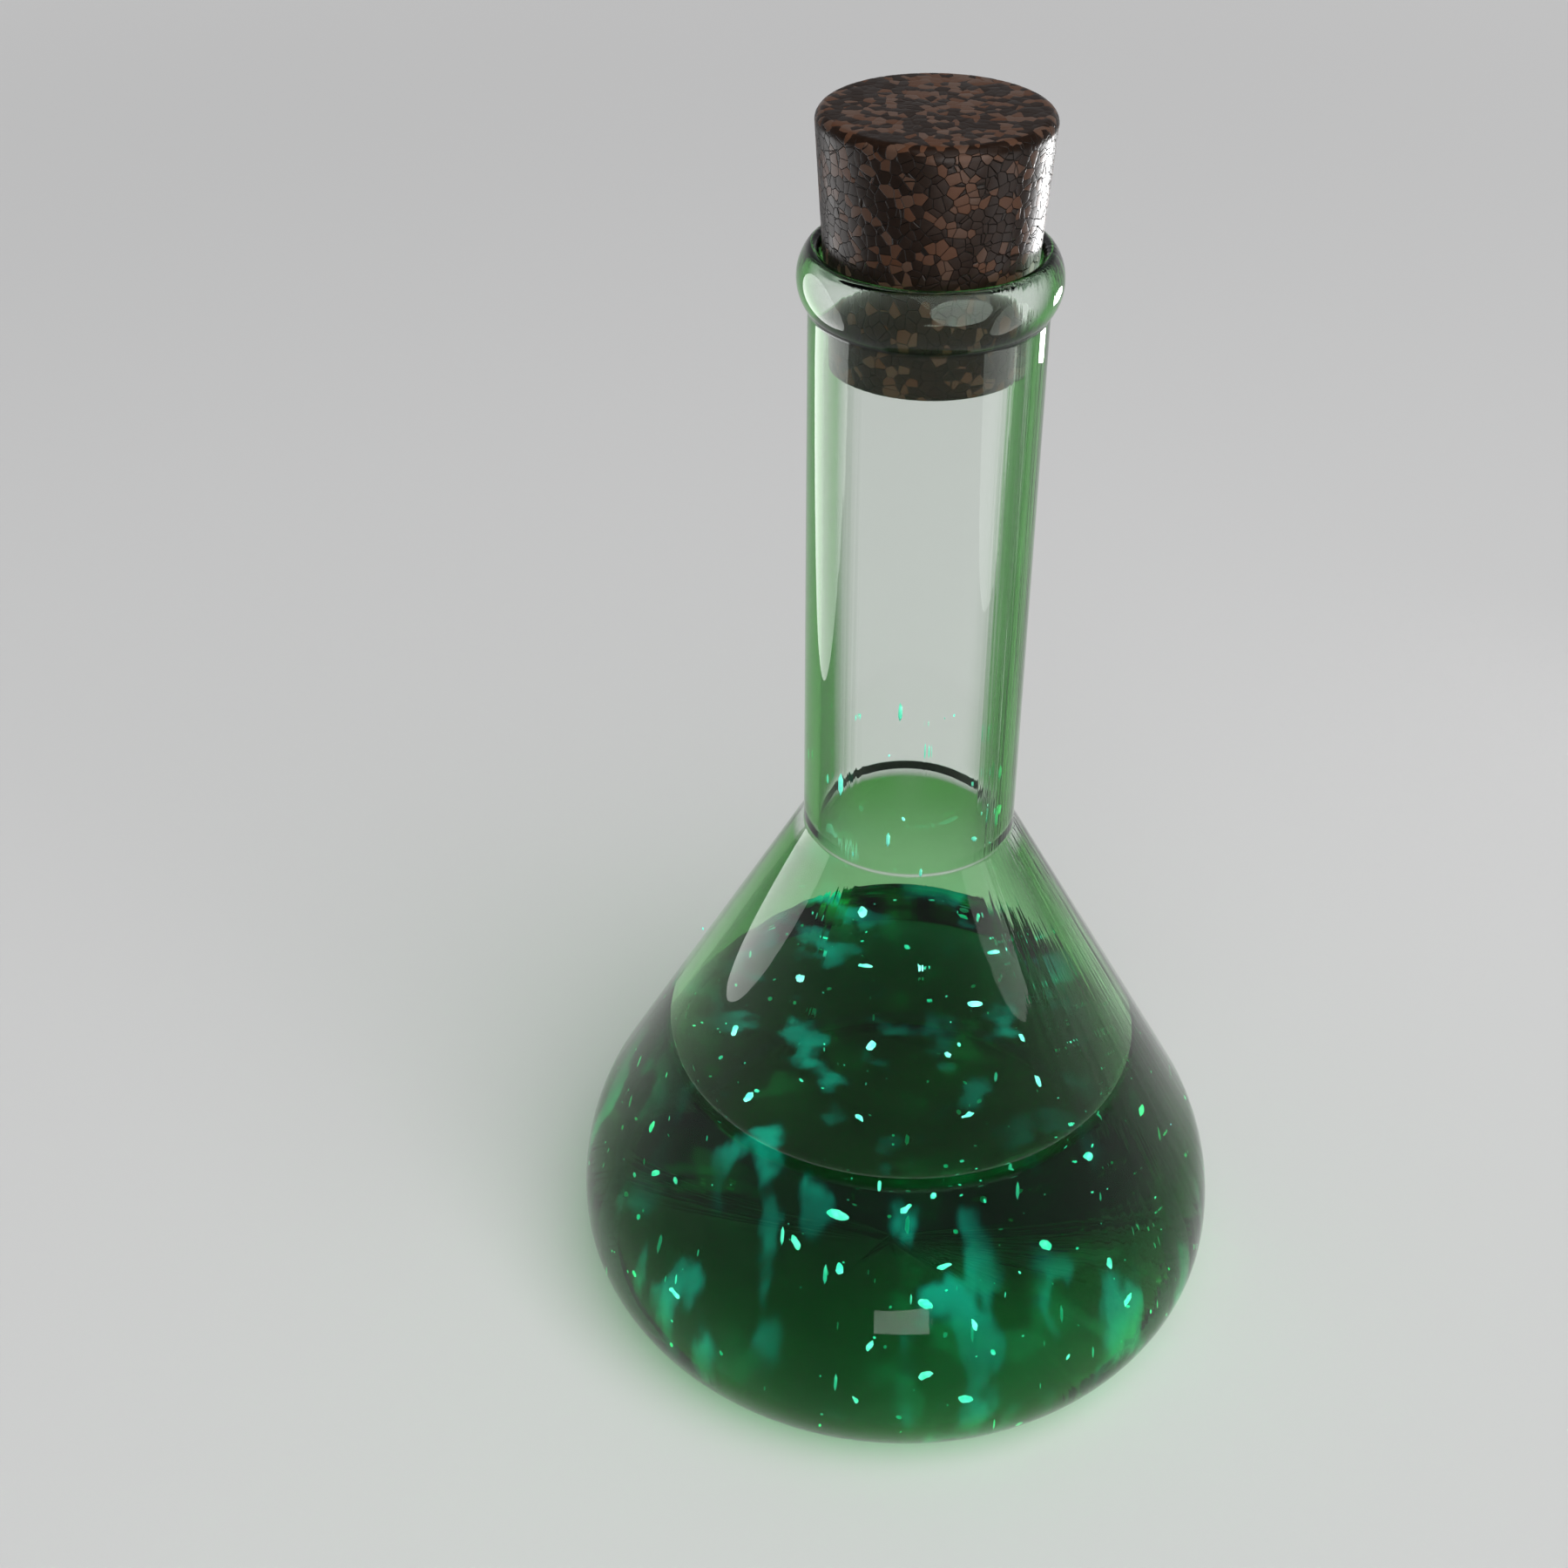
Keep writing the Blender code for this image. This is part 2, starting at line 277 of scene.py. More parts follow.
def granuleGroup():
    # straight-sided chips with cracks between them
    tree, given, result = newTree("corkGranules", "ShaderNodeTree", {
        "Vector": ("NodeSocketVector", None),
        "Chips Per Metre": ("NodeSocketFloat", 600.0),
        "Crack Share": ("NodeSocketFloat", 0.06),
    }, {"Tone": "NodeSocketFloat", "Second Tone": "NodeSocketFloat", "Crack": "NodeSocketFloat"})
    sockets = {"Vector": given["Vector"], "Scale": given["Chips Per Metre"]}
    cells = addNode(tree, "ShaderNodeTexVoronoi", sockets, feature="F1")
    edges = addNode(tree, "ShaderNodeTexVoronoi", sockets, feature="DISTANCE_TO_EDGE")
    tones = addNode(tree, "ShaderNodeSeparateColor", {0: cells.outputs["Color"]})
    crack = remap(tree, edges.outputs["Distance"], 0.0, given["Crack Share"], 1.0, 0.0)
    tree.links.new(tones.outputs[0], result["Tone"])
    tree.links.new(tones.outputs[1], result["Second Tone"])
    tree.links.new(crack, result["Crack"])
    return tree


softWander = wanderGroup()
drawnStreaks = streakGroup()
corkGranules = granuleGroup()


def startFinish(name, **values):
    material = bpy.data.materials.new(name)
    material.use_nodes = True
    tree = material.node_tree
    shader = tree.nodes["Principled BSDF"]
    for label, value in values.items():
        shader.inputs[label].default_value = value
    place = addNode(tree, "ShaderNodeTexCoord").outputs["Object"]
    return material, tree, shader, place


def useGroup(tree, group, sockets):
    return addNode(tree, "ShaderNodeGroup", sockets, node_tree=group).outputs


def wanderMask(tree, place, grain, softness):
    sockets = {"Vector": place, "Grain": grain, "Softness": softness}
    return useGroup(tree, softWander, sockets)["Mask"]


def addBump(tree, shader, height, distance):
    sockets = {"Height": height, "Distance": distance, "Strength": 1.0}
    bump = addNode(tree, "ShaderNodeBump", sockets)
    tree.links.new(bump.outputs[0], shader.inputs["Normal"])


def letLampsThrough(tree, shader, tint):
    # lamps reach what is inside and behind the glass, tinted on their way
    path = addNode(tree, "ShaderNodeLightPath")
    clear = addNode(tree, "ShaderNodeBsdfTransparent", {"Color": (*tint, 1)})
    surface = addNode(tree, "ShaderNodeMixShader", {
        0: path.outputs["Is Shadow Ray"], 1: shader.outputs[0], 2: clear.outputs[0],
    })
    tree.links.new(surface.outputs[0], tree.nodes["Material Output"].inputs["Surface"])


def addAbsorption(tree, colour, density):
    body = addNode(tree, "ShaderNodeVolumeAbsorption", {"Color": (*colour, 1), "Density": density})
    tree.links.new(body.outputs[0], tree.nodes["Material Output"].inputs["Volume"])


# The glass

flaskGlass = {
    "bulbRadius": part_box("glass_flask")[1].x,
    "widestHeight": 0.0172,
    "shoulderRadius": 0.0360,
    "shoulderRise": 0.0813,
    "neckRadius": 0.0170,
    "neckLength": 0.0917,
    "neckFootFillet": 0.0012,
    "wall": 0.0024,
    "footRing": 0.0020,
    "puntHeight": 0.0050,
    "puntFillet": 0.0060,
    "lipProjection": 0.0016,
    "lipRadius": 0.0067,
    "crownRadius": 0.0011,
    "lipFootFillet": 0.0012,
    "mouthFlare": 0.0007,
    "mouthTaper": 0.0091,
    "turnSteps": 256,
    "wideSteps": 24,
    "smallSteps": 8,
    "longestStep": 0.004,
    "unevenness": 0.00006,
    "unevennessWaves": 2.4,
    "tint": (0.25, 0.80, 0.30),
    "tintDensity": 26.0,
    "neckEdgeTint": (0.022, 0.24, 0.016),
    "bulbEdgeTint": (0.20, 0.82, 0.20),
    "edgeStart": 0.28,
    "edgeFull": 0.58,
    "paleBelow": 0.045,
    "deepAbove": 0.096,
    "foldReach": 0.0035,
    "foldShare": 0.15,
    # painted shade: the dark band where the lip turns into the neck
    "lipPaintedShadeTint": (0.03, 0.09, 0.035),
    "lipPaintedShadeRaise": 0.0004,
    "lipPaintedShadeReach": 0.00065,
    "lipPaintedShadeShare": 0.9,
    "gloss": (0.20, 0.23, 0.205),
    "lampTint": (0.80, 0.85, 0.80),
    "streaks": 18.0,
    "streakDrift": 9.0,
    "streakDepth": 0.00008,
    "streakPatches": 1.7,
    "patchStart": 0.42,
    "patchFull": 0.60,
    "smears": 60.0,
    "smearSoftness": 0.6,
    "smearRoughness": 0.006,
}
boreRadius = flaskGlass["neckRadius"] - flaskGlass["wall"]
heelCentre = Vector((
    flaskGlass["bulbRadius"] - flaskGlass["widestHeight"],
    flaskGlass["widestHeight"],
))
shoulderCentre = Vector((flaskGlass["bulbRadius"] - flaskGlass["shoulderRadius"], heelCentre.y))
neckFoot = Vector((flaskGlass["neckRadius"], heelCentre.y + flaskGlass["shoulderRise"]))
footFromArc = neckFoot - shoulderCentre
coneTilt = math.atan2(footFromArc.y, footFromArc.x) - math.acos(
    flaskGlass["shoulderRadius"] / footFromArc.length
)
lipCentre = Vector((
    flaskGlass["neckRadius"] + flaskGlass["lipProjection"] - flaskGlass["lipRadius"],
    neckFoot.y + flaskGlass["neckLength"],
))
crownOut = boreRadius + flaskGlass["mouthFlare"] + flaskGlass["crownRadius"] - lipCentre.x
crownTurn = math.acos(crownOut / (flaskGlass["lipRadius"] - flaskGlass["crownRadius"]))
crownCentre = lipCentre + Vector((crownOut, crownOut * math.tan(crownTurn)))
seatHeight = crownCentre.y - flaskGlass["mouthTaper"]
lipFootOut = flaskGlass["neckRadius"] + flaskGlass["lipFootFillet"] - lipCentre.x
lipFootTurn = math.acos(lipFootOut / (flaskGlass["lipRadius"] + flaskGlass["lipFootFillet"]))
lipFootHeight = lipCentre.y - lipFootOut * math.tan(lipFootTurn)


def bodyLine(inset):
    # from the neck's foot to the middle of the base, inset from the outside
    size = flaskGlass
    wide, small = size["wideSteps"], size["smallSteps"]
    footCentre = neckFoot + (size["neckFootFillet"] - inset) * Vector((1, math.tan(coneTilt / 2)))
    puntCentre = heelCentre - Vector((size["footRing"], heelCentre.y - size["puntFillet"]))
    domeRadius = (puntCentre.x**2 + size["puntHeight"] ** 2) / (2 * size["puntHeight"])
    domeRadius -= size["puntFillet"]
    domeTilt = math.asin(puntCentre.x / (domeRadius + size["puntFillet"]))
    domeCentre = Vector((0, size["puntHeight"] - domeRadius))
    line = arc(footCentre, size["neckFootFillet"], math.pi, math.pi + coneTilt, small)
    line += arc(shoulderCentre, size["shoulderRadius"] - inset, coneTilt, 0, wide)
    line += arc(heelCentre, heelCentre.y - inset, 0, -rightAngle, wide)[1:]
    line += arc(puntCentre, size["puntFillet"] - inset, -rightAngle, -rightAngle - domeTilt, small)
    line += arc(domeCentre, domeRadius + inset, rightAngle - domeTilt, rightAngle, small)[1:]
    line[-1].x = 0
    return line


def lipLine():
    # from the stopper's seat up the mouth, over the crown and down to the neck
    size = flaskGlass
    wide, small = size["wideSteps"], size["smallSteps"]
    footCentre = Vector((lipCentre.x + lipFootOut, lipFootHeight))
    line = [Vector((boreRadius, seatHeight))]
    line += arc(crownCentre, size["crownRadius"], math.pi, crownTurn, small)
    line += arc(lipCentre, size["lipRadius"], crownTurn, -lipFootTurn, wide)[1:]
    line += arc(footCentre, size["lipFootFillet"], math.pi - lipFootTurn, math.pi, small)[1:]
    return line


def glassFinish():
    look = flaskGlass
    material, tree, shader, place = startFinish("greenTintedGlass", **{
        "Base Color": (1, 1, 1, 1), "Metallic": 0.0, "Roughness": 0.0, "IOR": 1.5,
        "Transmission Weight": 1.0, "Specular Tint": (*look["gloss"], 1),
    })
    facing = addNode(tree, "ShaderNodeLayerWeight", {"Blend": 0.5}).outputs["Facing"]
    edge = remap(tree, facing, look["edgeStart"], look["edgeFull"])
    height = heightOf(tree, place)
    upNeck = remap(tree, height, look["paleBelow"], look["deepAbove"])
    edgeTint = mixColours(tree, upNeck, (*look["bulbEdgeTint"], 1), (*look["neckEdgeTint"], 1))
    # the fold at the neck's foot stays pale, or it would stand out as a black ring
    fromFold = calc(tree, "ABSOLUTE", calc(tree, "SUBTRACT", height, neckFoot.y))
    foldShare = remap(tree, fromFold, 0.0, look["foldReach"], look["foldShare"], 1.0)
    edge = calc(tree, "MULTIPLY", edge, foldShare)
    colour = mixColours(tree, edge, (1, 1, 1, 1), edgeTint)
    # painted shade: a dark band where the lip turns into the neck, where the glass is thick
    fromLipFoot = calc(tree, "SUBTRACT", height, lipFootHeight + look["lipPaintedShadeRaise"])
    fromLipFoot = calc(tree, "ABSOLUTE", fromLipFoot)
    lipPaintedShade = remap(tree, fromLipFoot, 0.0, look["lipPaintedShadeReach"], look["lipPaintedShadeShare"], 0.0)
    colour = mixColours(tree, lipPaintedShade, colour, (*look["lipPaintedShadeTint"], 1))
    tree.links.new(colour, shader.inputs["Base Color"])
    streaks = useGroup(tree, drawnStreaks, {
        "Vector": place, "Streaks": look["streaks"], "Drift": look["streakDrift"],
        "Patches": look["streakPatches"],
        "Patch Start": look["patchStart"], "Patch Full": look["patchFull"],
    })["Height"]
    addBump(tree, shader, streaks, look["streakDepth"])
    smears = wanderMask(tree, place, look["smears"], look["smearSoftness"])
    roughness = remap(tree, smears, 0.0, 1.0, 0.0, look["smearRoughness"])
    tree.links.new(roughness, shader.inputs["Roughness"])
    letLampsThrough(tree, shader, look["lampTint"])
    addAbsorption(tree, look["tint"], look["tintDensity"])
    return material


def makeGlass():
    look = flaskGlass
    inside = list(reversed(bodyLine(look["wall"])))
    line = withShortSteps(inside + lipLine() + bodyLine(0), look["longestStep"])
    piece = growPiece("flaskGlass", lineMesh("flaskLine", line), turnedForm, {
        "Turn Steps": look["turnSteps"],
        "Unevenness": look["unevenness"],
        "Unevenness Waves": look["unevennessWaves"],
        "Finish": glassFinish(),
    })
    facesOutward(piece)
    finishPiece(piece, "flask", "green_tinted_glass", "glass_flask")


makeGlass()

# The liquid, which meets the glass

liquidFill = {
    "level": 0.0534,
    "overlap": 0.00005,
    "meniscusHeight": 0.0011,
    "meniscusWidth": 0.0028,
    "longestStep": 0.003,
    "deepTint": (0.16, 0.60, 0.36),
    "clearTint": (0.42, 0.98, 0.72),
    # painted light: a paler, brighter green where the liquid is seen edge-on
    "edgeTint": (0.34, 1.0, 0.50),
    "edgeStart": 0.35,
    "edgeFull": 0.85,
    "swirls": 34.0,
    "swirlSoftness": 0.45,
    "shimmer": (0.0, 0.30, 0.20),
    "shimmers": 115.0,
    "shimmerStretch": 0.38,
    "shimmerSoftness": 0.42,
    "shimmerStart": 0.57,
    "shimmerFalloff": 2.0,
    "ripples": 55.0,
    "rippleSoftness": 0.2,
    "rippleDepth": 0.00004,
    "tint": (0.14, 0.757, 0.63),
    "tintDensity": 140.0,
    "gloss": (0.13, 0.19, 0.16),
    "lampTint": (0.46, 0.92, 0.62),
}


def sideRadius(height, inset):
    # how far out the body's line stands at a height, inset from the outside
    above = height - heelCentre.y
    if above <= 0:
        return heelCentre.x + math.sqrt((heelCentre.y - inset) ** 2 - above**2)
    if above <= (flaskGlass["shoulderRadius"] - inset) * math.sin(coneTilt):
        return shoulderCentre.x + math.sqrt((flaskGlass["shoulderRadius"] - inset) ** 2 - above**2)
    drop = neckFoot.y - height
    return flaskGlass["neckRadius"] + (drop * math.sin(coneTilt) - inset) / math.cos(coneTilt)


def liquidFinish():
    look = liquidFill
    material, tree, shader, place = startFinish("greenLiquid", **{
        "Metallic": 0.0, "Roughness": 0.0, "IOR": 1.33, "Transmission Weight": 1.0,
        "Specular Tint": (*look["gloss"], 1), "Emission Strength": 1.0,
    })
    swirl = wanderMask(tree, place, look["swirls"], look["swirlSoftness"])
    colour = mixColours(tree, swirl, (*look["deepTint"], 1), (*look["clearTint"], 1))
    # painted light: seen edge-on, the liquid turns a paler, brighter green, lifting its dark
    # outline
    facing = addNode(tree, "ShaderNodeLayerWeight", {"Blend": 0.5}).outputs["Facing"]
    edge = remap(tree, facing, look["edgeStart"], look["edgeFull"])
    colour = mixColours(tree, edge, colour, (*look["edgeTint"], 1))
    tree.links.new(colour, shader.inputs["Base Color"])
    upright = calcVector(tree, "MULTIPLY", place, (1, 1, look["shimmerStretch"]))
    glimmer = wanderMask(tree, upright, look["shimmers"], look["shimmerSoftness"])
    glimmer = calc(tree, "MULTIPLY", remap(tree, glimmer, look["shimmerStart"], 1.0), swirl)
    glimmer = calc(tree, "POWER", glimmer, look["shimmerFalloff"])
    glow = mixColours(tree, glimmer, (0, 0, 0, 1), (*look["shimmer"], 1))
    tree.links.new(glow, shader.inputs["Emission Color"])
    ripple = wanderMask(tree, place, look["ripples"], look["rippleSoftness"])
    addBump(tree, shader, ripple, look["rippleDepth"])
    letLampsThrough(tree, shader, look["lampTint"])
    addAbsorption(tree, look["tint"], look["tintDensity"])
    return material


def makeLiquid():
    look = liquidFill
    inset = flaskGlass["wall"] - look["overlap"]
    brim = look["level"] + look["meniscusHeight"]
    curveCentre = Vector((sideRadius(brim, inset) - look["meniscusWidth"], brim))
    line = [Vector((0, look["level"]))]
    for turn in arc(Vector((0, 0)), 1, -rightAngle, 0, flaskGlass["wideSteps"]):
        rise = Vector((look["meniscusWidth"] * turn.x, look["meniscusHeight"] * turn.y))
        line.append(curveCentre + rise)
    line += [point for point in bodyLine(inset) if point.y < look["level"]]
    line = withShortSteps(line, look["longestStep"])
    piece = growPiece("greenLiquid", lineMesh("liquidLine", line), turnedForm, {
        "Turn Steps": flaskGlass["turnSteps"],
        "Finish": liquidFinish(),
    })
    facesOutward(piece)
    finishPiece(piece, "flask", "green_liquid", "liquid_fill")
    return piece


greenLiquid = makeLiquid()

# The stopper of pressed cork granules

corkStopper = {
    "length": 0.0354,
    "footDrop": 0.0064,
    "taperShare": 0.0685,
    "clearance": 0.0003,
    "topRounding": 0.0015,
    "footRounding": 0.0008,
    "turnSteps": 340,
    "longestStep": 0.00028,
    "chipsPerMetre": 720.0,
    "crackShare": 0.05,
    "crackDepth": 0.00003,
    "crackSpread": 2.0,
    "crackEnd": 0.0012,
    "lightShareSide": 0.30,
    "lightShareTop": 0.42,
    "dark": (0.0175, 0.0090, 0.0055),
    "light": (0.090, 0.052, 0.036),
    "warm": (0.076, 0.031, 0.015),
    # painted shade: how much darker the side is than the top
    "sidePaintedShade": 0.70,
    "crackColour": (0.004, 0.003, 0.002),
    "dust": 900.0,
    "dustSoftness": 0.6,
    "dustShade": 0.7,
    "roughness": (0.28, 0.42),
    "toneRelief": 0.12,
    "reliefDepth": 0.0001,
}


def corkFinish(top):
    look = corkStopper
    material, tree, shader, place = startFinish("pressedCork", **{
        "Metallic": 0.0, "Roughness": 0.34, "IOR": 1.3, "Specular IOR Level": 0.14,
    })
    chips = useGroup(tree, corkGranules, {
        "Vector": place,
        "Chips Per Metre": look["chipsPerMetre"],
        "Crack Share": look["crackShare"],
    })
    # the top is cut flat, so the cracks fade out towards it, and so does the side's painted shade
    onSide = remap(tree, heightOf(tree, place), top - look["crackEnd"], top, 1.0, 0.0)
    crack = calc(tree, "MULTIPLY", chips["Crack"], onSide)
    darkShare = between(tree, onSide, 1 - look["lightShareTop"], 1 - look["lightShareSide"])
    isLight = calc(tree, "GREATER_THAN", chips["Tone"], darkShare)
    tone = mixColours(tree, chips["Second Tone"], (*look["light"], 1), (*look["warm"], 1))
    dust = wanderMask(tree, place, look["dust"], look["dustSoftness"])
    darker = [look["dustShade"] * value for value in look["dark"]]
    dark = mixColours(tree, dust, (*look["dark"], 1), (*darker, 1))
    colour = mixColours(tree, isLight, dark, tone)
    # painted shade: the side is darker than the top, as if lit from above
    paintedShade = remap(tree, onSide, 0.0, 1.0, 1.0, look["sidePaintedShade"])
    grey = addNode(tree, "ShaderNodeCombineColor", {0: paintedShade, 1: paintedShade, 2: paintedShade}).outputs[0]
    colour = mixColours(tree, 1.0, colour, grey, "MULTIPLY")
    colour = mixColours(tree, crack, colour, (*look["crackColour"], 1))
    tree.links.new(colour, shader.inputs["Base Color"])
    roughness = remap(tree, chips["Second Tone"], 0.0, 1.0, *look["roughness"])
    tree.links.new(roughness, shader.inputs["Roughness"])
    relief = calc(tree, "MULTIPLY", chips["Tone"], look["toneRelief"])
    relief = calc(tree, "SUBTRACT", relief, crack)
    addBump(tree, shader, relief, look["reliefDepth"])
    return material


def crackedTree():
    # lowers the skin along the cracks between granules
    tree, given, result = newTree("crackedSkin", "GeometryNodeTree", {
        "Geometry": ("NodeSocketGeometry", None),
        "Chips Per Metre": ("NodeSocketFloat", 600.0),
        "Crack Share": ("NodeSocketFloat", 0.06),
        "Crack Spread": ("NodeSocketFloat", 2.0),
        "Crack Depth": ("NodeSocketFloat", 0.0001),
        "Finish": ("NodeSocketMaterial", None),
    }, {"Geometry": "NodeSocketGeometry"})
    place = addNode(tree, "GeometryNodeInputPosition").outputs[0]
    normal = addNode(tree, "GeometryNodeInputNormal").outputs[0]
    edges = addNode(tree, "ShaderNodeTexVoronoi", {
        "Vector": place, "Scale": given["Chips Per Metre"],
    }, feature="DISTANCE_TO_EDGE").outputs["Distance"]
    reach = calc(tree, "MULTIPLY", given["Crack Share"], given["Crack Spread"])
    crack = remap(tree, edges, 0.0, reach, -1.0, 0.0)
    sink = scaled(tree, normal, calc(tree, "MULTIPLY", crack, given["Crack Depth"]))
    skin = addNode(tree, "GeometryNodeSetPosition", {"Geometry": given["Geometry"], "Offset": sink})
    tree.links.new(makeReal(tree, skin.outputs[0], given["Finish"]), result["Geometry"])
    return tree


def makeCork():
    look = corkStopper
    foot = seatHeight - look["footDrop"]
    top = foot + look["length"]

    def edge(height, rounding, start, end):
        radius = boreRadius - look["clearance"] + look["taperShare"] * (height - seatHeight)
        centre = Vector((radius - rounding, height))
        return arc(centre, rounding, start, end, flaskGlass["smallSteps"])

    line = [Vector((0, top))]
    line += edge(top - look["topRounding"], look["topRounding"], rightAngle, 0)
    line += edge(foot + look["footRounding"], look["footRounding"], 0, -rightAngle)
    line.append(Vector((0, foot)))
    line = withShortSteps(line, look["longestStep"])
    finish = corkFinish(top)
    plain = growPiece("plainCork", lineMesh("corkLine", line), turnedForm, {
        "Turn Steps": look["turnSteps"], "Finish": finish,
    })
    facesOutward(plain)
    plainMesh = plain.data
    bpy.data.objects.remove(plain)
    piece = growPiece("corkStopper", plainMesh, crackedTree(), {
        "Chips Per Metre": look["chipsPerMetre"],
        "Crack Share": look["crackShare"],
        "Crack Spread": look["crackSpread"],
        "Crack Depth": look["crackDepth"],
        "Finish": finish,
    })
    finishPiece(piece, "stopper", "agglomerated_cork", "cork_stopper")


makeCork()

# The glowing flakes: one on each place that the frame gives, small ones adrift in the liquid,
# and painted reflections of them: glowing marks on the glass above the liquid

glowingFlakes = {
    "colour": (0.10, 0.55, 0.42),
    "roughness": 0.35,
    "coreColour": (0.32, 1.0, 0.93),
    "rimColour": (0.03, 0.66, 0.48),
    "glow": 1.5,
    "mottles": 700.0,
    "mottleSoftness": 0.5,
    "shine": (0.55, 1.0),
    "slimness": (0.42, 0.85),
    "thinness": 0.6,
    "dents": 900.0,
    "roughen": 0.0008,
    "roundSteps": 3,
    "seed": 4,
}
# how a mote's other sizes and its glow follow from its length, lying or upright
moteShape = {
    "lyingBreadth": 0.7,
    "lyingRise": 0.45,
    "uprightWidth": 0.5,
    "uprightShine": 0.6,
    "falloff": 2.0,
}
driftingMotes = {
    "shine": (0.4, 1.3),
    "perSquareMetre": 9500.0,
    "uprightShare": 0.26,
    "uprightStretch": 3.2,
    "shallowest": 0.0009,
    "deepest": 0.0150,
    "smallest": 0.00016,
    "largest": 0.00075,
    "roundSteps": 1,
    "seed": 11,
}
# painted reflections of the flakes: small glowing marks on the inside of the glass
paintedFlakeReflections = {
    **driftingMotes,
    "lowest": 0.072,
    "highest": 0.116,
    "shine": (0.15, 0.75),
    "perSquareMetre": 16000.0,
    "uprightShare": 0.5,
    "uprightStretch": 2.0,
    "shallowest": 0.0,
    "deepest": 0.0003,
    "smallest": 0.00022,
    "largest": 0.0011,
    "seed": 5,
}


def flakeFinish():
    look = glowingFlakes
    material, tree, shader, place = startFinish("glowingFlake", **{
        "Base Color": (*look["colour"], 1), "Metallic": 0.0, "Roughness": look["roughness"],
        "Emission Strength": look["glow"],
    })
    mottle = wanderMask(tree, place, look["mottles"], look["mottleSoftness"])
    shine = addNode(tree, "ShaderNodeAttribute", attribute_name="shine").outputs["Fac"]
    colour = mixColours(tree, mottle, (*look["coreColour"], 1), (*look["rimColour"], 1))
    colour = mixColours(tree, shine, (0, 0, 0, 1), colour)
    tree.links.new(colour, shader.inputs["Emission Color"])
    return material


def addShine(tree, points, shine):
    # how brightly each copy glows, kept for the finish to read
    kept = addNode(
        tree, "GeometryNodeStoreNamedAttribute", {"Geometry": points, "Name": "shine"},
        data_type="FLOAT", domain="POINT",
    )
    tree.links.new(shine, next(socket for socket in kept.inputs if socket.name == "Value"))
    return kept.outputs[0]


def roundGrain(tree, given):
    sockets = {"Radius": 1.0, "Subdivisions": given["Round Steps"]}
    return addNode(tree, "GeometryNodeMeshIcoSphere", sockets).outputs["Mesh"]


def roughenAndFinish(tree, given, copies):
    # every copy is dented in its own way, so they are made real first
    noiseMean = (0.5, 0.5, 0.5)
    geometry = addNode(tree, "GeometryNodeRealizeInstances", {"Geometry": copies}).outputs[0]
    noise = addNode(tree, "ShaderNodeTexNoise", {
        "Vector": addNode(tree, "GeometryNodeInputPosition").outputs[0],
        "Scale": glowingFlakes["dents"],
        "Detail": 1.0,
    })
    push = calcVector(tree, "SUBTRACT", noise.outputs["Color"], noiseMean)
    shaped = addNode(tree, "GeometryNodeSetPosition", {
        "Geometry": geometry, "Offset": scaled(tree, push, given["Roughen"]),
    })
    smooth = addNode(tree, "GeometryNodeSetShadeSmooth", {"Geometry": shaped.outputs[0]})
    return makeReal(tree, smooth.outputs[0], given["Finish"])


def flakeTree():
    tree, given, result = newTree("flakesInPlace", "GeometryNodeTree", {
        "Geometry": ("NodeSocketGeometry", None),
        "Round Steps": ("NodeSocketInt", 3),
        "Roughen": ("NodeSocketFloat", 0.0002),
        "Finish": ("NodeSocketMaterial", None),
    }, {"Geometry": "NodeSocketGeometry"})
    lie, size = (
        addNode(
            tree, "GeometryNodeInputNamedAttribute", {"Name": label}, data_type="FLOAT_VECTOR"
        ).outputs["Attribute"]
        for label in ("lie", "size")
    )
    flakes = addNode(tree, "GeometryNodeInstanceOnPoints", {
        "Points": given["Geometry"], "Instance": roundGrain(tree, given),
        "Rotation": addNode(tree, "FunctionNodeEulerToRotation", {0: lie}).outputs[0],
        "Scale": size,
    })
    tree.links.new(roughenAndFinish(tree, given, flakes.outputs[0]), result["Geometry"])
    return tree


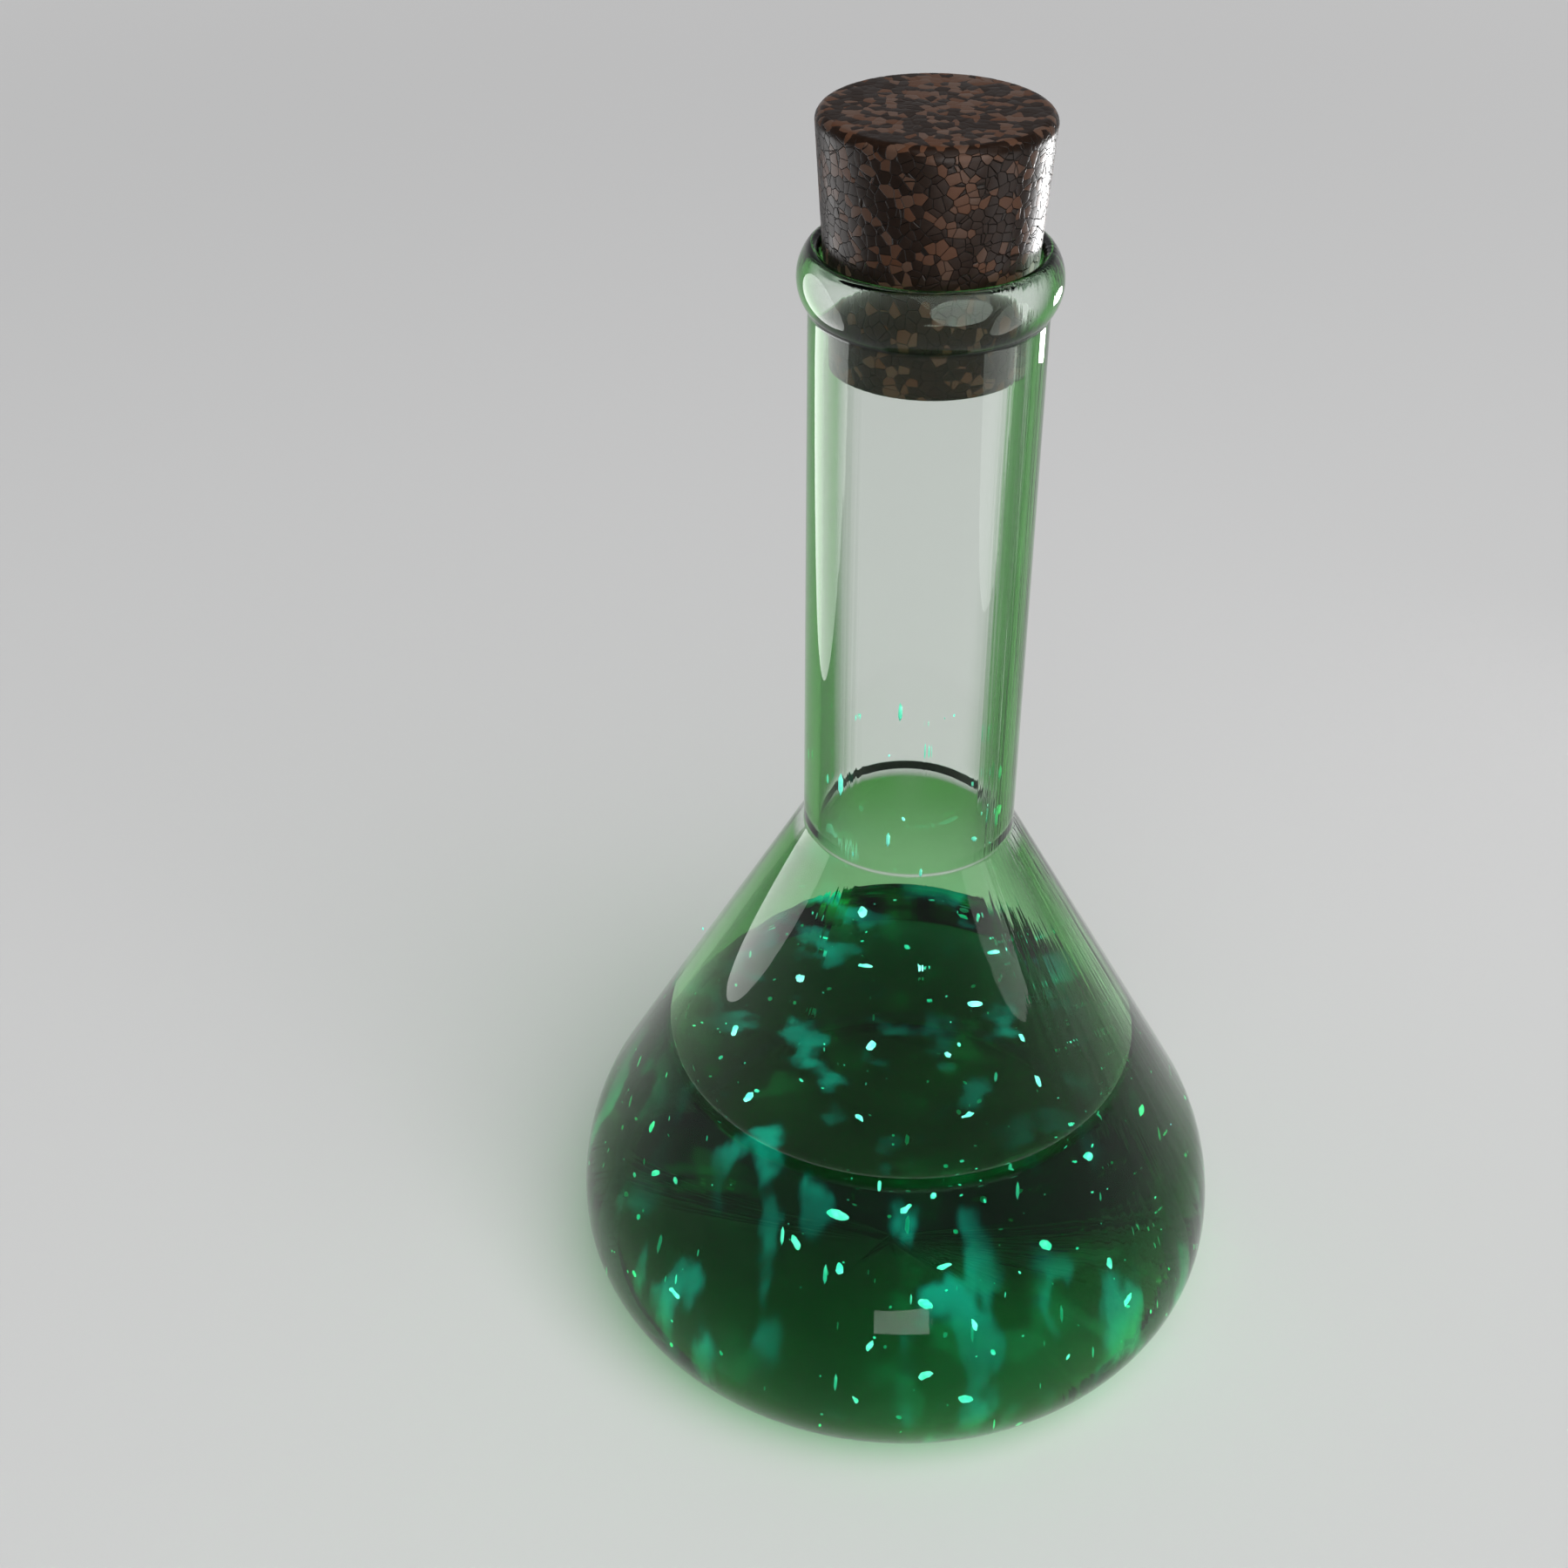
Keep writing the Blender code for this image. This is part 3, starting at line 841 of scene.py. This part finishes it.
def moteTree():
    # small flakes, set in from a skin at random depths
    shape = moteShape
    tree, given, result = newTree("motesAdrift", "GeometryNodeTree", {
        "Geometry": ("NodeSocketGeometry", None),
        "Per Square Metre": ("NodeSocketFloat", 1000.0),
        "Shallowest": ("NodeSocketFloat", 0.001),
        "Deepest": ("NodeSocketFloat", 0.01),
        "Smallest": ("NodeSocketFloat", 0.0001),
        "Largest": ("NodeSocketFloat", 0.0004),
        "Dimmest": ("NodeSocketFloat", 0.5),
        "Brightest": ("NodeSocketFloat", 1.0),
        "Upright Share": ("NodeSocketFloat", 0.2),
        "Upright Stretch": ("NodeSocketFloat", 3.0),
        "Round Steps": ("NodeSocketInt", 2),
        "Roughen": ("NodeSocketFloat", 0.0002),
        "Seed": ("NodeSocketInt", 0),
        "Finish": ("NodeSocketMaterial", None),
    }, {"Geometry": "NodeSocketGeometry"})
    spots = addNode(tree, "GeometryNodeDistributePointsOnFaces", {
        "Mesh": given["Geometry"], "Density": given["Per Square Metre"], "Seed": given["Seed"],
    }, distribute_method="RANDOM")

    def chance(number, low=0.0, high=1.0):
        return addNode(tree, "FunctionNodeRandomValue", {
            2: low, 3: high, "Seed": calc(tree, "ADD", given["Seed"], number),
        }, data_type="FLOAT").outputs[1]

    # most are small, and most lie near the skin
    sizeShare = calc(tree, "POWER", chance(2), shape["falloff"])
    length = between(tree, sizeShare, given["Smallest"], given["Largest"])
    # some are drawn out into upright streaks, which glow less
    upright = calc(tree, "LESS_THAN", chance(3), given["Upright Share"])
    width, breadth, rise = (
        calc(tree, "MULTIPLY", length, between(tree, upright, lying, standing))
        for lying, standing in (
            (1.0, shape["uprightWidth"]),
            (shape["lyingBreadth"], shape["uprightWidth"]),
            (shape["lyingRise"], given["Upright Stretch"]),
        )
    )
    size = addNode(tree, "ShaderNodeCombineXYZ", {0: width, 1: breadth, 2: rise}).outputs[0]
    depthShare = calc(tree, "POWER", chance(1), shape["falloff"])
    depth = between(tree, depthShare, given["Shallowest"], given["Deepest"])
    depth = calc(tree, "MAXIMUM", depth, calc(tree, "ADD", rise, given["Shallowest"]))
    sunk = addNode(tree, "GeometryNodeSetPosition", {
        "Geometry": spots.outputs["Points"],
        "Offset": scaled(tree, spots.outputs["Normal"], calc(tree, "MULTIPLY", depth, -1)),
    })
    turn = addNode(tree, "FunctionNodeRandomValue", {
        0: (0, 0, 0), 1: (fullTurn, fullTurn, fullTurn), "Seed": given["Seed"],
    }, data_type="FLOAT_VECTOR").outputs[0]
    turn = scaled(tree, turn, calc(tree, "SUBTRACT", 1.0, upright))
    shine = calc(
        tree, "MULTIPLY", chance(4, given["Dimmest"], given["Brightest"]),
        between(tree, upright, 1.0, shape["uprightShine"]),
    )
    motes = addNode(tree, "GeometryNodeInstanceOnPoints", {
        "Points": addShine(tree, sunk.outputs[0], shine), "Instance": roundGrain(tree, given),
        "Rotation": addNode(tree, "FunctionNodeEulerToRotation", {0: turn}).outputs[0],
        "Scale": size,
    })
    tree.links.new(roughenAndFinish(tree, given, motes.outputs[0]), result["Geometry"])
    return tree


def flakeAxes(points):
    # the three axes of a flake's solid and its half lengths along them
    centre = sum(points, Vector()) / len(points)
    away = [point - centre for point in points]
    long = max(away, key=lambda arm: arm.length).normalized()
    sideways = [arm - arm.dot(long) * long for arm in away]
    across = max(sideways, key=lambda arm: arm.length).normalized()
    axes = (long, across, long.cross(across))
    return centre, axes, [max(abs(arm.dot(axis)) for arm in away) for axis in axes]


def makeFlakes(finish):
    look = glowingFlakes
    names = sorted(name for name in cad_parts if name.startswith("glow_flake"))
    dice = random.Random(look["seed"])
    places, lies, sizes, shines = [], [], [], []
    for name in names:
        points = [vertex.co.copy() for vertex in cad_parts[name].data.vertices]
        centre, axes, halves = flakeAxes(points)
        places.append(centre)
        lies.append(Matrix(axes).transposed().to_euler())
        slim = dice.uniform(*look["slimness"])
        sizes.append((halves[0], halves[1] * slim, halves[2] * look["thinness"]))
        shines.append(dice.uniform(*look["shine"]))
    mesh = bpy.data.meshes.new("flakePlaces")
    mesh.from_pydata(places, [], [])
    for label, rows in (("lie", lies), ("size", sizes)):
        values = mesh.attributes.new(label, "FLOAT_VECTOR", "POINT")
        values.data.foreach_set("vector", [value for row in rows for value in row])
    mesh.attributes.new("shine", "FLOAT", "POINT").data.foreach_set("value", shines)
    piece = growPiece("glowFlakes", mesh, flakeTree(), {
        "Round Steps": look["roundSteps"],
        "Roughen": look["roughen"],
        "Finish": finish,
    })
    finishPiece(piece, "flask", "glowing_flake", *names)


def makeMotes(name, skin, look, finish):
    piece = growPiece(name, skin, moteTree(), {
        "Per Square Metre": look["perSquareMetre"],
        "Shallowest": look["shallowest"],
        "Deepest": look["deepest"],
        "Smallest": look["smallest"],
        "Largest": look["largest"],
        "Dimmest": look["shine"][0],
        "Brightest": look["shine"][1],
        "Upright Share": look["uprightShare"],
        "Upright Stretch": look["uprightStretch"],
        "Round Steps": look["roundSteps"],
        "Roughen": look["smallest"],
        "Seed": look["seed"],
        "Finish": finish,
    })
    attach(piece, "flask")


def wallAboveLiquid(look):
    # the inside of the glass where the neck widens, where the painted flake reflections lie
    line = [point for point in bodyLine(flaskGlass["wall"]) if point.y > look["lowest"]]
    line.insert(0, Vector((boreRadius, look["highest"])))
    line = withShortSteps(line, flaskGlass["longestStep"])
    band = growPiece("reflectionBand", lineMesh("reflectionLine", line), turnedForm, {
        "Turn Steps": flaskGlass["turnSteps"],
    })
    mesh = band.data
    bpy.data.objects.remove(band)
    return mesh


glowFinish = flakeFinish()
makeFlakes(glowFinish)
makeMotes("driftingMotes", greenLiquid.data.copy(), driftingMotes, glowFinish)
# painted reflections of the flakes, as glowing marks on the glass above the liquid
makeMotes("paintedFlakeReflections", wallAboveLiquid(paintedFlakeReflections), paintedFlakeReflections, glowFinish)

# The stage: a pale floor, a pale room and soft lamps

stageLook = {
    "floorRadius": 6.0,
    "floorSides": 64,
    "floorColour": (0.66, 0.66, 0.655),
    "roomLow": (0.62, 0.62, 0.62),
    "roomHigh": (0.16, 0.16, 0.17),
    "fadeStart": 0.05,
    "fadeEnd": 0.55,
    "blendStart": 0.4,
    "blendEnd": 1.6,
}
photoCamera = {
    "place": (0.0, -0.2865, 0.3066),
    "pitch": 35.30,
    "turn": 4.04,
    "lens": 50.0,
    "sensorWidth": 36.0,
}
softLamps = {
    "keyLamp": {
        "shape": "RECTANGLE", "glow": 3.7, "size": (3.3, 3.3),
        "place": (0.85, -1.75, 2.60), "aim": (0, 0, 0.10),
    },
    "leftStrip": {
        "shape": "ELLIPSE", "glow": 5.2, "size": (0.12, 0.154),
        "place": (-0.122, 0.026, 0.134), "aim": (0, 0, 0.134),
    },
    "rightStrip": {
        "shape": "ELLIPSE", "glow": 4.5, "size": (0.07, 0.125),
        "place": (0.111, -0.045, 0.145), "aim": (0, 0, 0.145),
    },
    "rimStrip": {
        "shape": "ELLIPSE", "glow": 80.0, "size": (0.075, 0.056),
        "place": (0.205, 0.22, 0.076), "aim": (0, 0, 0.076),
    },
    "frontCard": {
        "shape": "RECTANGLE", "glow": 11.0, "size": (0.15, 0.035),
        "place": (0.04, -0.50, 0.085), "aim": (0, 0, 0.04),
    },
    "lipCard": {
        "shape": "ELLIPSE", "glow": 12.0, "size": (0.07, 0.07),
        "place": (0.031, -0.070, 0.206), "aim": (0.0043, -0.0178, 0.1924),
    },
}


def makeFloor():
    look = stageLook
    mesh = bpy.data.meshes.new("paleFloor")
    ring = arc(Vector((0, 0)), look["floorRadius"], 0, fullTurn, look["floorSides"])[:-1]
    mesh.from_pydata([(point.x, point.y, 0) for point in ring], [], [list(range(len(ring)))])
    floor = bpy.data.objects.new("paleFloor", mesh)
    bpy.context.scene.collection.objects.link(floor)
    material, tree, shader, place = startFinish("palePaper", **{
        "Base Color": (*look["floorColour"], 1), "Metallic": 0.0, "Roughness": 1.0,
        "Specular IOR Level": 0.1,
    })
    # far from the flask the paper takes the room's own pale tone, so that no edge shows
    path = addNode(tree, "ShaderNodeLightPath").outputs
    seen = calc(tree, "MAXIMUM", path["Is Camera Ray"], path["Is Glossy Ray"])
    seen = calc(tree, "MAXIMUM", seen, path["Is Transmission Ray"])
    distance = calcVector(tree, "LENGTH", place, output=1)
    away = remap(tree, distance, look["blendStart"], look["blendEnd"])
    tone = addNode(tree, "ShaderNodeEmission", {"Color": (*look["roomLow"], 1), "Strength": 1.0})
    surface = addNode(tree, "ShaderNodeMixShader", {
        0: calc(tree, "MULTIPLY", seen, away), 1: shader.outputs[0], 2: tone.outputs[0],
    })
    tree.links.new(surface.outputs[0], tree.nodes["Material Output"].inputs["Surface"])
    mesh.materials.append(material)


def makeRoom():
    look = stageLook
    world = bpy.data.worlds.new("paleRoom")
    bpy.context.scene.world = world
    world.use_nodes = True
    tree = world.node_tree
    # the room darkens upwards; for a world, Generated is the direction
    direction = addNode(tree, "ShaderNodeTexCoord").outputs["Generated"]
    share = remap(tree, heightOf(tree, direction), look["fadeStart"], look["fadeEnd"])
    colour = mixColours(tree, share, (*look["roomLow"], 1), (*look["roomHigh"], 1))
    tree.links.new(colour, tree.nodes["Background"].inputs["Color"])


def makeLamps():
    for name, look in softLamps.items():
        lamp = bpy.data.lights.new(name, "AREA")
        lamp.shape = look["shape"]
        lamp.size, lamp.size_y = look["size"]
        fullness = math.pi / 4 if lamp.shape == "ELLIPSE" else 1
        lamp.energy = look["glow"] * math.pi * lamp.size * lamp.size_y * fullness
        holder = bpy.data.objects.new(name, lamp)
        bpy.context.scene.collection.objects.link(holder)
        holder.location = look["place"]
        aim = Vector(look["aim"]) - Vector(look["place"])
        holder.rotation_euler = aim.to_track_quat("-Z", "Y").to_euler()
        # the small lamps give highlights alone: they light nothing dull and don't show through
        holder.visible_camera = False
        holder.visible_diffuse = holder.visible_transmission = name == "keyLamp"


def makeCamera():
    look = photoCamera
    lens = bpy.data.cameras.new("photoCamera")
    lens.lens = look["lens"]
    lens.sensor_width = look["sensorWidth"]
    camera = bpy.data.objects.new("photoCamera", lens)
    bpy.context.scene.collection.objects.link(camera)
    camera.location = look["place"]
    pitch, turn = math.radians(look["pitch"]), math.radians(look["turn"])
    camera.rotation_euler = (rightAngle - pitch, 0, turn)
    bpy.context.scene.camera = camera


makeFloor()
makeRoom()
makeLamps()
makeCamera()
bpy.context.scene.view_settings.view_transform = "Standard"
print("stage set")
